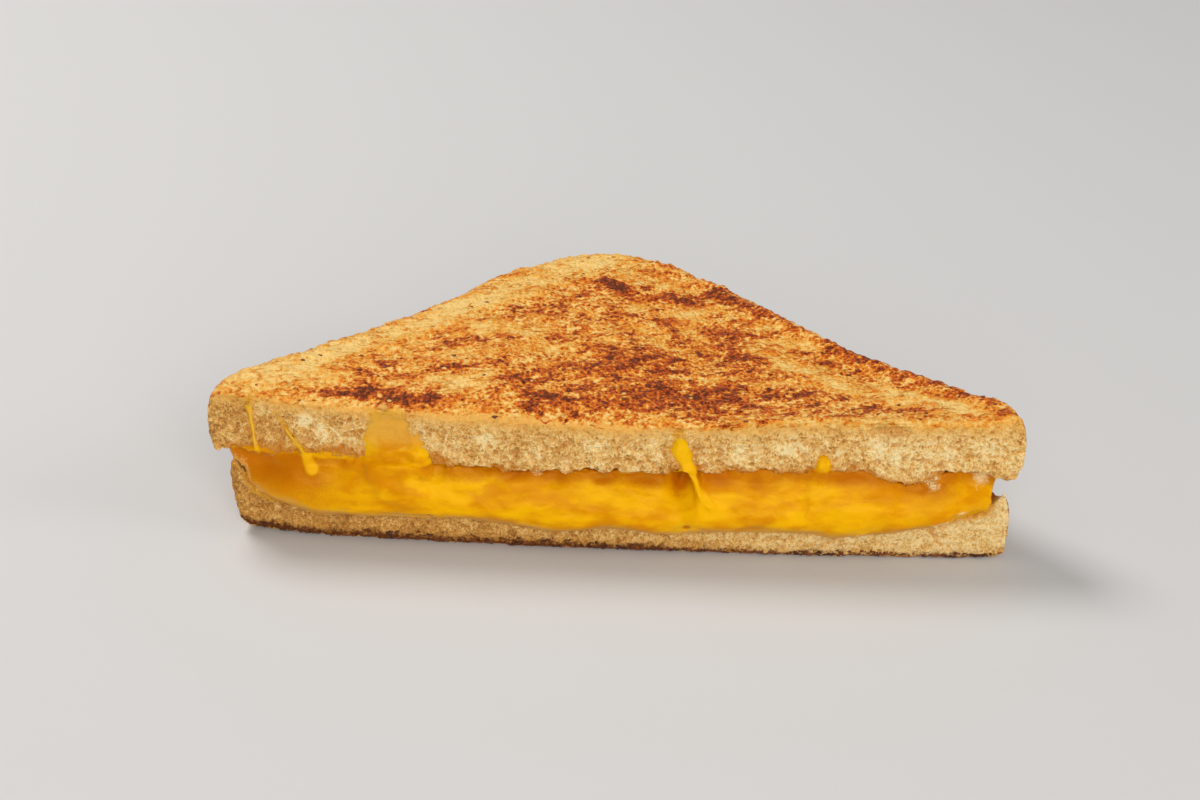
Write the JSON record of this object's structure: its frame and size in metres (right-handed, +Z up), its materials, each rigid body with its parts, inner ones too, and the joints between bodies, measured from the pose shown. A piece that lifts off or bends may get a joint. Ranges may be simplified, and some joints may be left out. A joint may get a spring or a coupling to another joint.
{
  "type": "grilled cheese sandwich half",
  "caption": "Half of a pan-fried cheese sandwich, cut corner to corner: toasted bread slices with melted cheese that bellies out of the cut face.",
  "frame": {"origin": "middle of the footprint's bounding box, on the plane that the sandwich half rests on", "axes": "+X along the cut face, +Y from the cut face to the loaf corner opposite it, +Z up through the layers"},
  "size_m": [0.1548, 0.081, 0.0299],
  "materials": {
    "toasted_bread": "dry, buttery sheen on the browned top, matte crumb",
    "melted_cheese": "soft gloss, slightly translucent",
    "lower_bread": "matte crumb, browned underside"
  },
  "bodies": {
    "root": {"top_slice": "toasted_bread", "cheese": "melted_cheese", "bottom_slice": "lower_bread"}
  },
  "joints": []
}
